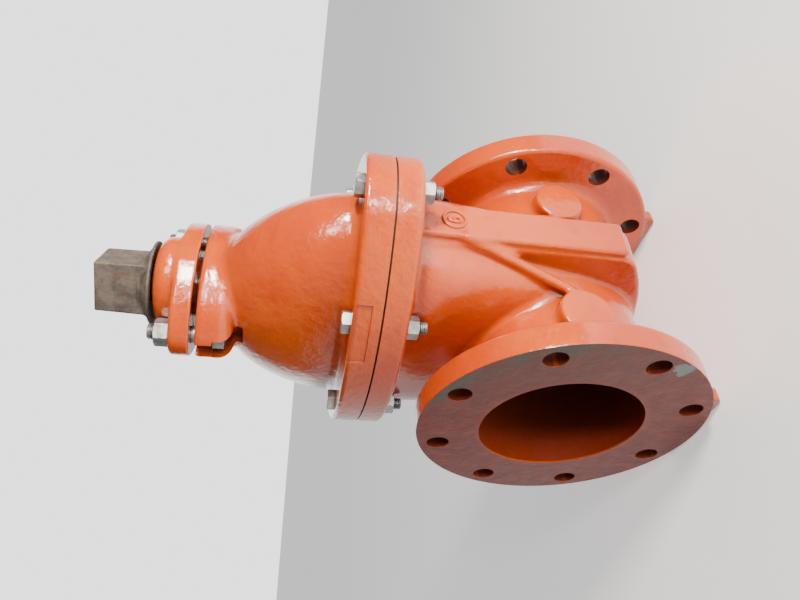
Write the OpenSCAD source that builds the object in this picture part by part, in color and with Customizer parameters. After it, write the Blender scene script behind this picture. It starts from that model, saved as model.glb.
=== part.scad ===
// Resilient wedge gate valve, 6 inch, flanged ends, non-rising stem with a square operating nut.
// The origin is the crossing of the waterway and the stem axis: X runs along the waterway and
// Z up the stem. The valve is closed, and stands on the feet under its end flanges.

/* [End flanges] */
// Distance between the two end faces
face_to_face = 266.7; // [264:0.1:270]
// Outer diameter of an end flange
flange_d = 279.4; // [276:0.1:284]
// Thickness of an end flange
flange_t = 25.4; // [23:0.1:28]
// Bolt circle diameter
flange_pcd = 241.3; // [239:0.1:243]
// Number of bolt holes
flange_holes = 8; // [4:4:12]
// Diameter of a bolt hole
flange_hole_d = 22.2; // [19:0.1:24]
// Diameter of the waterway
port_d = 158; // [152:1:160]

/* [Body] */
// Outer radius of the necks behind the end flanges
neck_r = 93; // [91:0.5:96]
// Half thickness of the pocket below the waterway
pocket_half_x = 22; // [20:0.5:26]
// Outer radius of the pocket's round bottom
pocket_r = 200; // [190:1:210]
// Half width of the pocket across the waterway
pocket_half_y = 122; // [118:1:124]
// Half width of the guide rails on the pocket's sides
rail_half_x = 20; // [17:0.5:22]
// Distance from the stem axis to a rail's outer face
rail_y = 130; // [128:0.5:134]
// Radius of the round bosses on the necks
boss_r = 25; // [20:0.5:30]
// Distance from the stem axis to a boss's face
boss_y = 104.5; // [100:0.5:108]
// Half length of a foot under an end flange
foot_half_y = 57; // [50:1:70]
// Thickness of a foot along the waterway
foot_t = 15; // [12:0.5:18]
// How far a foot reaches below its flange
foot_drop = 1.6; // [1:0.1:3]

/* [Bonnet joint] */
// Half width of the oval joint flanges along the waterway
joint_half_x = 108; // [106:0.5:112]
// Radius of the flanges' long side arcs
joint_side_r = 228; // [220:1:236]
// Radius of the flanges' round ends
joint_end_r = 60; // [52:1:64]
// Height of the body flange's underside
joint_z0 = 162.5; // [160:0.5:165]
// Height of the joint face on the body
joint_z = 185.7; // [184:0.1:188]
// Thickness of the bonnet gasket
gasket_t = 1.6; // [1:0.1:3]
// Thickness of the bonnet's flange
bonnet_flange_t = 25.7; // [23:0.1:28]

/* [Joint bolts] */
// Diameter of a joint bolt
joint_bolt_d = 12.7; // [12:0.1:13]
// Distance across the flats of its head and nut
joint_hex_af = 19.05; // [18:0.05:20]
// Distance from the stem axis to the two end bolts
end_bolt_y = 158; // [156:0.5:160]
// Place of the four side bolts along the waterway
side_bolt_x = 80; // [78:0.5:82]
// Place of the four side bolts across it
side_bolt_y = 68; // [64:0.5:72]

/* [Bonnet] */
// Height of the bonnet above its flange
dome_h = 137.5; // [134:0.5:141]
// Half width of the dome along the waterway
dome_half_x = 73; // [71:0.5:76]
// Half width of the dome across it
dome_half_y = 134; // [131:1:137]
// Wall thickness of the dome
dome_wall = 9; // [8:0.5:10]

/* [Stuffing box] */
// Distance from the stem axis to its two bolts
gland_bolt_x = 58.5; // [57:0.5:60]
// Diameter of its bolts
gland_bolt_d = 15.9; // [14:0.1:16]
// Distance across the flats of their heads and nuts
gland_hex_af = 23.8; // [22:0.1:24]
// Half length of the oval outline of the neck and the stuffing box
gland_half_x = 78.5; // [76:0.5:81]
// Radius of its round ends
gland_end_r = 24; // [22:0.5:26]
// Gap between the bonnet's neck and the stuffing box
gland_gap = 5; // [4:0.1:7]
// Thickness of the stuffing box's ears
ear_t = 19.5; // [18:0.5:22]
// Half width of that outline
gland_half_y = 50; // [48:0.5:52]
// Radius of the stuffing box's barrel
gland_r = 46.2; // [45:0.1:46.2]
// Height of its barrel
gland_h = 32; // [30:0.5:33]

/* [Operating nut] */
// Width of the square at its foot
square_base = 50.8; // [49:0.1:52]
// Width of the square at its top
square_top = 49.2; // [47:0.1:50]
// Height of the square
square_h = 44.45; // [42:0.05:46]
// Height of its top above the waterway
nut_top_z = 452; // [450:0.5:455]
// Radius of the skirt
skirt_r = 42; // [40:0.5:44]
// Turn of the square from the waterway
square_turn = 31.5; // [0:0.5:45]

/* [Stem and wedge] */
// Diameter of the stem where it passes the seals
stem_d = 31.8; // [31:0.1:32]
// Diameter of the stem's thread
thread_d = 25.4; // [24:0.1:26]
// Radius of the stem's thrust collar
collar_r = 25; // [22:0.5:26]
// Half thickness of the seat gap on the waterway's axis
seat_half_x = 27; // [26:0.1:28]
// Taper of each seat from the stem axis in degrees
seat_angle = 7; // [6:0.1:8]
// Radius of the wedge
wedge_r = 84; // [82:0.5:85]
// Thickness of the wedge's rubber
rubber_t = 4; // [3:0.1:5]

/* [Hidden] */
$fn = 96;

paint = [0.84, 0.34, 0.15];
bare_iron = [0.33, 0.29, 0.26];
zinc = [0.66, 0.68, 0.69];
bronze = [0.72, 0.52, 0.27];
rubber = [0.12, 0.12, 0.12];
nylon = [0.88, 0.86, 0.78];

cut = 1; // how far a cutting shape runs past the face that it cuts
gap = 0.3; // clearance between pieces that don't bear on each other
fit_gap = 0.08; // radial clearance of a running fit

face_x = face_to_face / 2;
flange_x0 = face_x - flange_t;
flange_r = flange_d / 2;
port_r = port_d / 2;
drill_step = 0.2; // the back flange's holes are this much larger in radius than the front one's
foot_z = -flange_r - foot_drop;
foot_x = flange_x0 + 4 + foot_t / 2;

bonnet_z = joint_z + gasket_t;
dome_z = bonnet_z + bonnet_flange_t;
neck_z = dome_z + dome_h + 1;
cavity_top = dome_z + 90;
shelf_z = dome_z + 108.5;
ear_z = neck_z - 16;
pocket_floor_z = dome_z + 96;
neck_t = 33; // height of the oval part of the bonnet's neck
gland_z = neck_z + gland_gap;
gland_top = gland_z + gland_h;
gland_boss_r = 30; // low round boss under the skirt of the wrench nut
gland_boss_top = gland_top + 8.5;

stem_r = stem_d / 2;
thread_r = thread_d / 2;
stem_bore_r = stem_r + fit_gap;
gland_bore_r = 30; // bore of the bonnet's neck, which holds the stuffing box's spigot
washer_t = 2.5;
collar_t = 8;
collar_z = shelf_z + washer_t + gap;
upper_washer_z = collar_z + collar_t + gap;
spigot_z = upper_washer_z + washer_t;
seal_bore_r = stem_r + 0.5; // the stuffing box clears the stem here, so that the rings can stand out
ring_w = 3.5;
ring_r = seal_bore_r - gap;
ring_groove_r = stem_r - 3;
ring_z = [for (i = [0:2]) spigot_z + 14 + i * 9];
square_z = nut_top_z - square_h;
skirt_z = square_z - 9;
stem_square = 22; // width of the stem's squared top
stem_square_z = skirt_z + 6;
stem_top = nut_top_z - 14;
screw_r = 6;
screw_depth = 24;
screw_head_af = 19;
screw_head_h = 7.5;

pocket_z = 110; // height of the centre of the pocket's round bottom
rail_z0 = -42;
cavity_r = wedge_r + 3;
cavity_z = cavity_r + 1; // the seats end here, and the chamber above is open
channel_half_x = 12;
channel_half_y = 120;
channel_z = -36;
wedge_gap = 0.4;
stem_z0 = 94; // lowest point of the stem, above the waterway
wedge_top = 122;
head_half_y = 34;
head_z = 60;
lug_half_x = 8;
lug_z = [-30, 40];
nut_half_y = 24;
nut_z = [stem_z0 - 2, wedge_top - 4];
cap_t = 3.2;

joint_bolts = concat(
    [for (s = [-1, 1]) [0, s * end_bolt_y]],
    [for (sx = [-1, 1]) for (sy = [-1, 1]) [sx * side_bolt_x, sy * side_bolt_y]]
);

// Half thickness of the gap between the seats at height z
function seat_x(z) = seat_half_x + z * tan(seat_angle);

// Half width of the dome's section at the fraction t of its height
function dome_x(t) = dome_half_x * pow(1 - pow(t, 3.3), 0.7);
function dome_y(t) = dome_half_y * pow(1 - pow(t, 1.6), 0.6);

// Cylinder along the waterway
module rod_x(r, x0, x1) {
    translate([x0, 0, 0])
        rotate([0, 90, 0])
            cylinder(r = r, h = x1 - x0);
}

// Box centred on the stem axis
module centred_box(half_x, half_y, z0, z1) {
    translate([-half_x, -half_y, z0])
        cube([2 * half_x, 2 * half_y, z1 - z0]);
}

// Upright tube
module ring(r_out, r_in, z0, z1) {
    translate([0, 0, z0])
        difference() {
            cylinder(r = r_out, h = z1 - z0);
            translate([0, 0, -cut])
                cylinder(r = r_in, h = z1 - z0 + 2 * cut);
        }
}

// Hexagonal prism by its distance across the flats
module hexagon(af, h) {
    cylinder(d = af / cos(30), h = h, $fn = 6);
}

// Oval of four arcs: two long side arcs, which stop just short of the tangent points, and two round ends
module arc_oval(half_x, side_r, end_r) {
    side_c = side_r - half_x;
    end_c = sqrt(pow(side_r - end_r, 2) - pow(side_c, 2));
    side_half_y = end_c * side_r / (side_r - end_r) - 2;
    intersection() {
        translate([-side_c, 0])
            circle(r = side_r);
        translate([side_c, 0])
            circle(r = side_r);
        square([4 * half_x, 2 * side_half_y], center = true);
    }
    for (s = [-1, 1])
        translate([0, s * end_c])
            circle(r = end_r);
}

// Outline of both joint flanges, moved inwards by inset
module joint_oval(inset = 0) {
    arc_oval(joint_half_x - inset, joint_side_r - inset, joint_end_r - inset);
}

// Clearance holes for the joint bolts
module joint_bolt_holes(z0, z1) {
    for (p = joint_bolts)
        translate([p[0], p[1], z0 - cut])
            cylinder(d = joint_bolt_d + 1.6, h = z1 - z0 + 2 * cut);
}

// Thin elliptical slice below height z, used to build tapered shells
module slice(half_x, half_y, z) {
    translate([0, 0, z - 1])
        linear_extrude(height = 1)
            scale([half_x, half_y])
                circle(r = 1, $fn = 32);
}

// Outline shared by the bonnet's neck and the stuffing box, with its ears along the waterway
module gland_oval() {
    end_c = gland_half_x - gland_end_r;
    side_r = (pow(end_c, 2) + pow(gland_half_y, 2) - pow(gland_end_r, 2)) / (2 * (gland_half_y - gland_end_r));
    rotate(90)
        arc_oval(gland_half_y, side_r, gland_end_r);
}

// Space between the seats: a slab that tapers to a round bottom
module seat_gap() {
    bottom = -cavity_r;
    intersection() {
        rotate([90, 0, 0])
            linear_extrude(height = 2 * cavity_r, center = true)
                polygon([
                    [-seat_x(bottom), bottom],
                    [seat_x(bottom), bottom],
                    [seat_x(cavity_z), cavity_z],
                    [-seat_x(cavity_z), cavity_z]
                ]);
        union() {
            rod_x(cavity_r, -100, 100);
            centred_box(100, cavity_r, 0, cavity_z + cut);
        }
    }
}

// Outer shape of the chamber between the waterway and the bonnet joint
module chamber_shell() {
    hull() {
        slice(82, 125, joint_z0 + 1);
        centred_box(46, 96, 0, 1);
        centred_box(34, 74, -46, -45);
    }
}

// Inner shape of the same chamber, above the seats
module chamber_room() {
    hull() {
        slice(72, 114, joint_z + cut);
        centred_box(seat_x(cavity_z) + 8, cavity_r + 1, cavity_z, cavity_z + 1);
    }
}

// Flat-bottomed foot with round ends, under an end flange
module foot() {
    end_r = 8;
    height = 22;
    translate([foot_x - foot_t / 2, 0, foot_z])
        rotate([90, 0, 90])
            linear_extrude(height = foot_t) {
                translate([-foot_half_y, end_r])
                    square([2 * foot_half_y, height - end_r]);
                translate([-foot_half_y + end_r, 0])
                    square([2 * (foot_half_y - end_r), height]);
                for (s = [-1, 1])
                    translate([s * (foot_half_y - end_r), end_r])
                        circle(r = end_r);
            }
}

// End flange with its foot; the holes straddle the stem axis
module end_flange(hole_r) {
    difference() {
        union() {
            rod_x(flange_r, flange_x0, face_x);
            foot();
        }
        for (i = [0:flange_holes - 1])
            rotate([(i + 0.5) * 360 / flange_holes, 0, 0])
                translate([0, 0, flange_pcd / 2])
                    rod_x(hole_r, flange_x0 - cut, face_x + cut);
    }
}

module body() {
    color(paint)
        difference() {
            union() {
                end_flange(flange_hole_d / 2);
                mirror([1, 0, 0])
                    end_flange(flange_hole_d / 2 + drill_step);
                rod_x(neck_r, -flange_x0 - cut, flange_x0 + cut);
                intersection() {
                    translate([0, 0, pocket_z])
                        rod_x(pocket_r, -pocket_half_x, pocket_half_x);
                    centred_box(pocket_half_x, pocket_half_y, -200, joint_z0 + cut);
                }
                centred_box(rail_half_x, rail_y, rail_z0, joint_z0 + cut);
                chamber_shell();
                for (sx = [-1, 1])
                    translate([sx * 72, 0, 2])
                        rotate([90, 0, 0])
                            cylinder(r = boss_r, h = 2 * boss_y, center = true);
                translate([0, 0, joint_z0])
                    linear_extrude(height = joint_z - joint_z0)
                        joint_oval();
            }
            rod_x(port_r, -face_x - cut, face_x + cut);
            seat_gap();
            chamber_room();
            centred_box(channel_half_x, channel_half_y, channel_z, joint_z + cut);
            joint_bolt_holes(joint_z0, joint_z);
        }
}

module bonnet() {
    dome_steps = [0:0.1:0.8];
    room_steps = [0.05, 0.25, 0.4, 0.55, (cavity_top - dome_z) / dome_h];
    color(paint)
        difference() {
            union() {
                translate([0, 0, bonnet_z])
                    linear_extrude(height = bonnet_flange_t)
                        joint_oval();
                hull() {
                    for (t = dome_steps)
                        slice(dome_x(t), dome_y(t), dome_z - cut + t * dome_h);
                    translate([0, 0, neck_z - 20])
                        cylinder(r = gland_r - 6, h = 1, $fn = 48);
                }
                translate([0, 0, neck_z - neck_t])
                    linear_extrude(height = neck_t)
                        gland_oval();
            }
            hull() {
                for (t = room_steps)
                    slice(dome_x(t) - dome_wall, dome_y(t) - dome_wall, dome_z + t * dome_h);
                slice(dome_half_x - dome_wall + 1, dome_half_y - dome_wall + 1, bonnet_z);
            }
            translate([0, 0, cavity_top - cut])
                cylinder(r = stem_bore_r, h = shelf_z - cavity_top + 2 * cut);
            translate([0, 0, shelf_z])
                cylinder(r = gland_bore_r, h = neck_z - shelf_z + cut);
            joint_bolt_holes(bonnet_z, dome_z);
            for (s = [0, 1])
                mirror([s, 0, 0])
                    bolt_slot();
        }
}

// Open slot for a stuffing box bolt, with a pocket that keeps its head from turning
module bolt_slot() {
    slot_r = gland_bolt_d / 2 + 0.8;
    head_half_y = gland_hex_af / 2 + 0.6;
    head_x = gland_hex_af / (2 * cos(30)) + 0.6;
    reach = gland_half_x - gland_bolt_x + 8;
    translate([gland_bolt_x, 0, ear_z - cut])
        linear_extrude(height = neck_z - ear_z + 2 * cut) {
            circle(r = slot_r);
            translate([0, -slot_r])
                square([reach, 2 * slot_r]);
        }
    translate([gland_bolt_x - head_x, -head_half_y, pocket_floor_z])
        cube([reach + head_x, 2 * head_half_y, ear_z - pocket_floor_z]);
}

module bonnet_gasket() {
    color(rubber)
        translate([0, 0, joint_z])
            difference() {
                linear_extrude(height = gasket_t)
                    joint_oval(2);
                translate([0, 0, -cut])
                    linear_extrude(height = gasket_t + 2 * cut)
                        arc_oval(joint_half_x - 34, joint_side_r - 45, joint_end_r / 2);
                joint_bolt_holes(0, gasket_t);
            }
}

// Six bolts, with their heads on the bonnet and their threads below the body's flange
module bonnet_bolts() {
    head_h = 7.9;
    reach = 19;
    color(zinc)
        for (p = joint_bolts)
            translate([p[0], p[1], 0]) {
                translate([0, 0, joint_z0 - reach])
                    cylinder(d = joint_bolt_d, h = dome_z - joint_z0 + reach);
                translate([0, 0, dome_z])
                    hexagon(joint_hex_af, head_h);
            }
}

module bonnet_nuts() {
    nut_h = 11.1;
    color(zinc)
        for (p = joint_bolts)
            translate([p[0], p[1], joint_z0 - nut_h])
                difference() {
                    hexagon(joint_hex_af, nut_h);
                    translate([0, 0, -cut])
                        cylinder(d = joint_bolt_d, h = nut_h + 2 * cut);
                }
}

module stuffing_box() {
    groove_h = 5;
    color(paint)
        difference() {
            union() {
                translate([0, 0, gland_z])
                    linear_extrude(height = ear_t)
                        gland_oval();
                translate([0, 0, gland_z])
                    cylinder(r = gland_r, h = gland_h);
                translate([0, 0, gland_top - cut])
                    cylinder(r = gland_boss_r, h = gland_boss_top - gland_top + cut);
                translate([0, 0, spigot_z])
                    cylinder(r = gland_bore_r - 0.1, h = gland_z - spigot_z + cut);
            }
            translate([0, 0, spigot_z - cut])
                cylinder(r = seal_bore_r, h = gland_boss_top - spigot_z + 2 * cut);
            translate([0, 0, gland_boss_top - 8])
                cylinder(r = stem_r + 8, h = 8 + cut);
            ring(gland_bore_r + cut, gland_bore_r - 4, spigot_z + 4, spigot_z + 4 + groove_h);
            for (s = [-1, 1])
                translate([s * gland_bolt_x, 0, gland_z - cut])
                    cylinder(r = gland_bolt_d / 2 + 0.8, h = ear_t + 2 * cut);
        }
}

module stuffing_box_seal() {
    color(rubber)
        ring(gland_bore_r, gland_bore_r - 4, spigot_z + 4.4, spigot_z + 8.6);
}

module stuffing_box_bolts() {
    head_h = 10.3;
    color(zinc)
        for (s = [-1, 1])
            translate([s * gland_bolt_x, 0, 0]) {
                translate([0, 0, ear_z - head_h])
                    hexagon(gland_hex_af, head_h);
                translate([0, 0, ear_z])
                    cylinder(d = gland_bolt_d, h = gland_z + ear_t + 20.5 - ear_z);
            }
}

module stuffing_box_nuts() {
    nut_h = 13.9;
    color(zinc)
        for (s = [-1, 1])
            translate([s * gland_bolt_x, 0, gland_z + ear_t])
                difference() {
                    rotate([0, 0, 30])
                        hexagon(gland_hex_af, nut_h);
                    translate([0, 0, -cut])
                        cylinder(d = gland_bolt_d, h = nut_h + 2 * cut);
                }
}

module dirt_seal() {
    color(rubber)
        ring(stem_r + 8, stem_r + gap, gland_boss_top - 8, gland_boss_top);
}

module thrust_washer_lower() {
    color(nylon)
        ring(collar_r, stem_r + gap, shelf_z, shelf_z + washer_t);
}

module thrust_washer_upper() {
    color(nylon)
        ring(collar_r, stem_r + gap, upper_washer_z, upper_washer_z + washer_t);
}

module stem() {
    color(bronze)
        difference() {
            union() {
                translate([0, 0, stem_z0])
                    cylinder(r = thread_r, h = cavity_top - 2 - stem_z0);
                translate([0, 0, cavity_top - 4])
                    cylinder(r = stem_r, h = stem_square_z - cavity_top + 4);
                translate([0, 0, collar_z])
                    cylinder(r = collar_r, h = collar_t);
                rotate([0, 0, square_turn])
                    centred_box(stem_square / 2, stem_square / 2, stem_square_z - cut, stem_top);
            }
            for (z = ring_z)
                ring(stem_r + cut, ring_groove_r, z, z + ring_w);
            translate([0, 0, stem_top - screw_depth])
                cylinder(r = screw_r, h = screw_depth + cut);
        }
}

module stem_o_ring(i) {
    color(rubber)
        ring(ring_r, ring_groove_r, ring_z[i], ring_z[i] + ring_w);
}

module stem_o_ring_lower() {
    stem_o_ring(0);
}

module stem_o_ring_middle() {
    stem_o_ring(1);
}

module stem_o_ring_upper() {
    stem_o_ring(2);
}

// Square operating nut on a flared skirt that covers the dirt seal
module wrench_nut() {
    rim_t = 1.5;
    color(bare_iron)
        difference() {
            union() {
                translate([0, 0, skirt_z])
                    cylinder(r = skirt_r, h = rim_t);
                translate([0, 0, skirt_z + rim_t])
                    cylinder(r1 = skirt_r, r2 = 30, h = square_z - skirt_z - rim_t + 1);
                translate([0, 0, square_z])
                    rotate([0, 0, square_turn])
                        linear_extrude(height = square_h, scale = square_top / square_base)
                            square(square_base, center = true);
            }
            translate([0, 0, skirt_z - cut])
                cylinder(r1 = skirt_r - 5 + cut, r2 = stem_r + 3, h = 6 + cut);
            rotate([0, 0, square_turn])
                centred_box(stem_square / 2, stem_square / 2, skirt_z, stem_top);
            translate([0, 0, stem_top])
                cylinder(r = 15, h = nut_top_z - stem_top + cut);
        }
}

module wrench_nut_washer() {
    color(zinc)
        ring(14.5, screw_r, stem_top, stem_top + washer_t);
}

module wrench_nut_screw() {
    seat = stem_top + washer_t;
    color(zinc) {
        translate([0, 0, stem_top - screw_depth + 1])
            cylinder(r = screw_r, h = seat - stem_top + screw_depth - 1);
        translate([0, 0, seat])
            hexagon(screw_head_af, screw_head_h);
    }
}

// Wedge shape between the seats; inset makes room for the rubber
module wedge_shape(inset) {
    low = -wedge_r;
    high = wedge_r;
    side = inset + wedge_gap;
    intersection() {
        rotate([90, 0, 0])
            linear_extrude(height = 2 * wedge_r, center = true)
                polygon([
                    [-seat_x(low) + side, low],
                    [seat_x(low) - side, low],
                    [seat_x(high) - side, high],
                    [-seat_x(high) + side, high]
                ]);
        rod_x(wedge_r - inset, -100, 100);
    }
    centred_box(seat_x(head_z) - side, head_half_y - inset, head_z, wedge_top - inset);
}

// Slot for the stem nut, and the blind bore that takes the stem as the wedge rises
module wedge_cuts() {
    translate([-100, -nut_half_y, nut_z[0]])
        cube([200, 2 * nut_half_y, nut_z[1] - nut_z[0]]);
    translate([0, 0, -77])
        cylinder(r = thread_r + 1.8, h = 77 + wedge_top + cut);
}

// Side lugs that carry the guide caps
module wedge_lugs(half_x, half_y, z0, z1) {
    for (s = [-1, 1])
        translate([-half_x, s > 0 ? 70 : -half_y, z0])
            cube([2 * half_x, half_y - 70, z1 - z0]);
}

module wedge_core() {
    color(bare_iron)
        difference() {
            union() {
                wedge_shape(rubber_t);
                wedge_lugs(lug_half_x, channel_half_y - 5, lug_z[0], lug_z[1]);
            }
            wedge_cuts();
        }
}

module wedge_rubber() {
    color(rubber)
        difference() {
            wedge_shape(0);
            wedge_shape(rubber_t);
            wedge_lugs(lug_half_x, channel_half_y, lug_z[0], lug_z[1]);
            wedge_cuts();
        }
}

module stem_nut() {
    color(bronze)
        difference() {
            centred_box(26, nut_half_y, nut_z[0], nut_z[1]);
            translate([0, 0, nut_z[0] - cut])
                cylinder(r = thread_r + fit_gap, h = nut_z[1] - nut_z[0] + 2 * cut);
        }
}

// Cap that slides in the body's guide channel
module guide_cap(side) {
    inner_y = wedge_r + 3;
    outer_y = channel_half_y - 1;
    color(nylon)
        difference() {
            translate([-lug_half_x - cap_t, side > 0 ? inner_y : -outer_y, lug_z[0] - cap_t])
                cube([2 * (lug_half_x + cap_t), outer_y - inner_y, lug_z[1] - lug_z[0] + 2 * cap_t]);
            wedge_lugs(lug_half_x, channel_half_y - 5, lug_z[0], lug_z[1]);
        }
}

module guide_cap_left() {
    guide_cap(-1);
}

module guide_cap_right() {
    guide_cap(1);
}

body();
bonnet();
bonnet_gasket();
bonnet_bolts();
bonnet_nuts();
stuffing_box();
stuffing_box_seal();
stuffing_box_bolts();
stuffing_box_nuts();
dirt_seal();
thrust_washer_lower();
thrust_washer_upper();
stem();
stem_o_ring_lower();
stem_o_ring_middle();
stem_o_ring_upper();
wrench_nut();
wrench_nut_washer();
wrench_nut_screw();
wedge_core();
wedge_rubber();
stem_nut();
guide_cap_left();
guide_cap_right();
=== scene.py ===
import math

import bmesh
import bpy
import numpy as np
from mathutils import Matrix, Vector


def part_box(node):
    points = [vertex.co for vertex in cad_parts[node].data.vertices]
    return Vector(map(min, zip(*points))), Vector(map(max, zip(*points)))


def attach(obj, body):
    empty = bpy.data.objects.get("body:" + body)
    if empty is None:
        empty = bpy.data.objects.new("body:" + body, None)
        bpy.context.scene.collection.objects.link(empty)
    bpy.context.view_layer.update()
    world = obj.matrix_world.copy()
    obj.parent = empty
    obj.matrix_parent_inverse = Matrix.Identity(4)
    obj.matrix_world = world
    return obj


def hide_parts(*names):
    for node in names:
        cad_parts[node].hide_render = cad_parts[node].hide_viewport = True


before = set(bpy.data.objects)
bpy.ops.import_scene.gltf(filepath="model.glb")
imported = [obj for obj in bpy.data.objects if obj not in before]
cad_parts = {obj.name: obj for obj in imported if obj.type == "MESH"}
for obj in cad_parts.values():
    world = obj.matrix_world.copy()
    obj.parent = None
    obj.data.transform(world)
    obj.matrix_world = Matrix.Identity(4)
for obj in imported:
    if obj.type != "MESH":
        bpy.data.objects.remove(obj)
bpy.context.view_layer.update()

# Lengths are in millimetres while the pieces are built. finished() turns them into metres.
MM = 0.001


def top(node):
    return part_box(node)[1].z / MM


def bottom(node):
    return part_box(node)[0].z / MM


FACE_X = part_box("body")[1].x / MM
FLANGE_T = 25.4
FLANGE_X0 = FACE_X - FLANGE_T
FLANGE_R = 139.7
BOLT_CIRCLE_R = 120.65
# the back flange's holes are 0.2 mm wider in radius, as in the solids
HOLE_R_FRONT, HOLE_R_BACK = 11.1, 11.3
FOOT_Z = bottom("body")
PORT_R = 79.0
JOINT_Z0 = 162.5
JOINT_Z = top("body")
BONNET_Z = bottom("bonnet")
DOME_Z = BONNET_Z + 25.7
NECK_Z = top("bonnet")
DOME_H = NECK_Z - DOME_Z - 1
CAVITY_TOP = DOME_Z + 90
SHELF_Z = DOME_Z + 108.5
EAR_Z = NECK_Z - 16
GLAND_Z = NECK_Z + 5
EAR_TOP = bottom("stuffing_box_nuts")
BOSS_TOP = top("stuffing_box")
SPIGOT_Z = bottom("stuffing_box")
SKIRT_Z = bottom("wrench_nut")
NUT_TOP = top("wrench_nut")
SQUARE_HALF, SQUARE_H = 25.4, 44.45
SQUARE_Z = NUT_TOP - SQUARE_H
STEM_TOP = bottom("wrench_nut_washer")
SQUARE_TURN = math.radians(31.5)
JOINT_HALF_X, JOINT_SIDE_R, JOINT_END_R = 108, 228, 60
GLAND_BOLT_X = 58.5
GLAND_SLOT_R = 8.75
JOINT_HOLE_R = 7.15
STEM_HOLE_R = 16.38
SEAL_POCKET_R = 23.9
# a little under the slots' radius, which keeps the flat sides off the facets of the round end
SLOT_HALF = 8.7
SEAT_TOP = 88.0
CASTING_WALL = 9
# hexagons across flats, and threads as (diameter, pitch)
JOINT_HEX, GLAND_HEX, SCREW_HEX = 19.05, 23.8, 19.0
JOINT_THREAD, GLAND_THREAD, SCREW_THREAD = (12.7, 1.95), (15.9, 2.31), (12, 1.75)
JOINT_NUT_BORE, GLAND_NUT_BORE = 6.3, 7.9
JOINT_BOLTS = [(0, 158), (0, -158), (80, 68), (80, -68), (-80, 68), (-80, -68)]


# ---- distance fields: negative inside, in millimetres ----


def union_round(a, b, r):
    return np.maximum(r, np.minimum(a, b)) - np.hypot(np.maximum(r - a, 0), np.maximum(r - b, 0))


def meet_round(a, b, r):
    return np.minimum(-r, np.maximum(a, b)) + np.hypot(np.maximum(r + a, 0), np.maximum(r + b, 0))


def oval(u, v, half_u, side_r, end_r):
    """Oval of two side arcs and two round ends along v, for u and v not negative."""
    side_c = side_r - half_u
    end_c = math.sqrt((side_r - end_r) ** 2 - side_c**2)
    beyond = side_c * v > end_c * (u + side_c)
    return np.where(beyond, np.hypot(u, v - end_c) - end_r, np.hypot(u + side_c, v) - side_r)


def joint_oval(x, y):
    return oval(x, y, JOINT_HALF_X, JOINT_SIDE_R, JOINT_END_R)


def gland_oval(x, y):
    half_x, half_y, end_r = 78.5, 50.0, 24.0
    end_c = half_x - end_r
    side_r = (end_c**2 + half_y**2 - end_r**2) / (2 * (half_y - end_r))
    return oval(y, x, half_y, side_r, end_r)


def levelled(f, step):
    """A field made even, so that its value near the surface is the distance."""
    gx, gy, gz = np.gradient(f, step)
    slope = np.sqrt(gx * gx + gy * gy + gz * gz)
    return np.clip(f / np.maximum(slope, 1e-4), -60, 60)


def body_field(x, y, z, step):
    r = np.hypot(y, z)
    disc = meet_round(r - FLANGE_R, np.maximum(FLANGE_X0 - x, x - FACE_X - 4), 4.5)
    foot_x = FLANGE_X0 + 11.5
    foot = np.maximum(meet_round(y - 57, FOOT_Z - z, 8), z - FOOT_Z - 24)
    foot = meet_round(foot, np.abs(x - foot_x) - 7.5, 1.5)
    disc = union_round(disc, foot, 3)
    neck = np.maximum(r - 93, x - FLANGE_X0 - 2)
    d = union_round(disc, neck, 12)
    outline = meet_round(np.hypot(y, z - 110) - 200, y - 122, 10)
    slab = meet_round(np.maximum(outline, z - 166), x - 22, 3)
    d = union_round(d, slab, 6)
    levels = [-60, -46, 0, 163, 200]
    a = np.interp(z, levels, [28, 34, 46, 82, 82])
    b = np.interp(z, levels, [62, 74, 96, 125, 125])
    p = np.interp(z, levels, [6, 6, 6, 2.2, 2.2])
    chamber = ((x / a) ** p + (y / b) ** p) ** (1 / p) - 1
    chamber = np.maximum(levelled(chamber, step), np.maximum(z - 166, -46 - z))
    d = union_round(d, chamber, 7)
    rail = meet_round(meet_round(x - 20, y - 130, 4), np.maximum(-42 - z, z - 170), 5)
    d = union_round(d, rail, 2.5)
    foot_of = np.array([16.0, 124.0, 113.0])
    along = np.array([46.0, 99.0, 10.0]) - foot_of
    t = sum((c - foot_of[i]) * along[i] for i, c in enumerate((x, y, z))) / (along @ along)
    t = np.clip(t, 0, 1)
    ridge = np.sqrt(sum((c - foot_of[i] - t * along[i]) ** 2 for i, c in enumerate((x, y, z)))) - 5
    d = union_round(d, ridge, 6)
    boss = meet_round(np.hypot(x - 72, z - 2) - 25, y - 104.5, 1.5)
    d = union_round(d, boss, 4)
    rim = meet_round(joint_oval(x, y), np.maximum(JOINT_Z0 - z, z - JOINT_Z - 5), 2.5)
    return union_round(d, rim, 8)


def dome_half(z):
    t = np.clip((z - DOME_Z) / DOME_H, 0, 0.985)
    return 73 * (1 - t**3.3) ** 0.7, 134 * (1 - t**1.6) ** 0.6


def bonnet_field(x, y, z, step):
    rim = meet_round(joint_oval(x, y), np.maximum(BONNET_Z - 5 - z, z - DOME_Z), 2.5)
    a, b = dome_half(z)
    dome = levelled(np.sqrt((x / a) ** 2 + (y / b) ** 2) - 1, step)
    dome = np.maximum(dome, np.maximum(BONNET_Z - z, z - NECK_Z + 4))
    dome = dome - 0.5 * np.exp(-((x / 1.5) ** 2))
    d = union_round(rim, dome, 9)
    neck = meet_round(gland_oval(x, y), NECK_Z - 34 - z, 14)
    neck = meet_round(neck, z - NECK_Z, 2)
    return union_round(d, neck, 7)


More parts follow.
